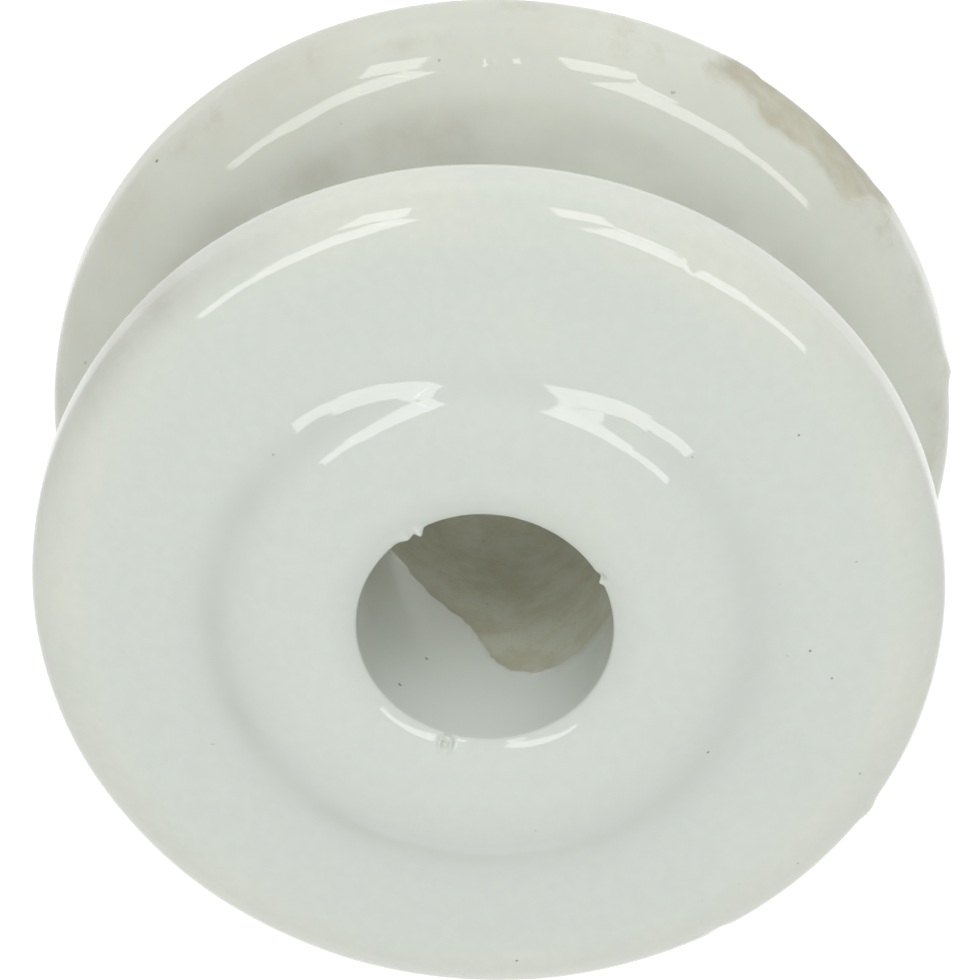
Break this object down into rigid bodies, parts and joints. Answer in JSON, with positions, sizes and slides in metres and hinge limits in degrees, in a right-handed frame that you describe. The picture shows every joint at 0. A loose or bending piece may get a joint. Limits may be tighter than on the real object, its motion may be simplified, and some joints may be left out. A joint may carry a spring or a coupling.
{
  "type": "fence corner insulator",
  "caption": "White glazed porcelain spool with a through bore, a low boss on each end and a round wire groove between two flanges, for turning a live fence wire at a corner post.",
  "frame": {"origin": "centre of the rear boss's flat ring, on the bore axis, where the insulator stands", "axes": "+Z along the bore axis, from the rear boss to the front boss; X and Y lie across the flanges"},
  "size_m": [0.045, 0.045, 0.029],
  "materials": {
    "glaze": "glossy"
  },
  "bodies": {
    "root": {"insulator_body": "glaze"}
  },
  "joints": []
}
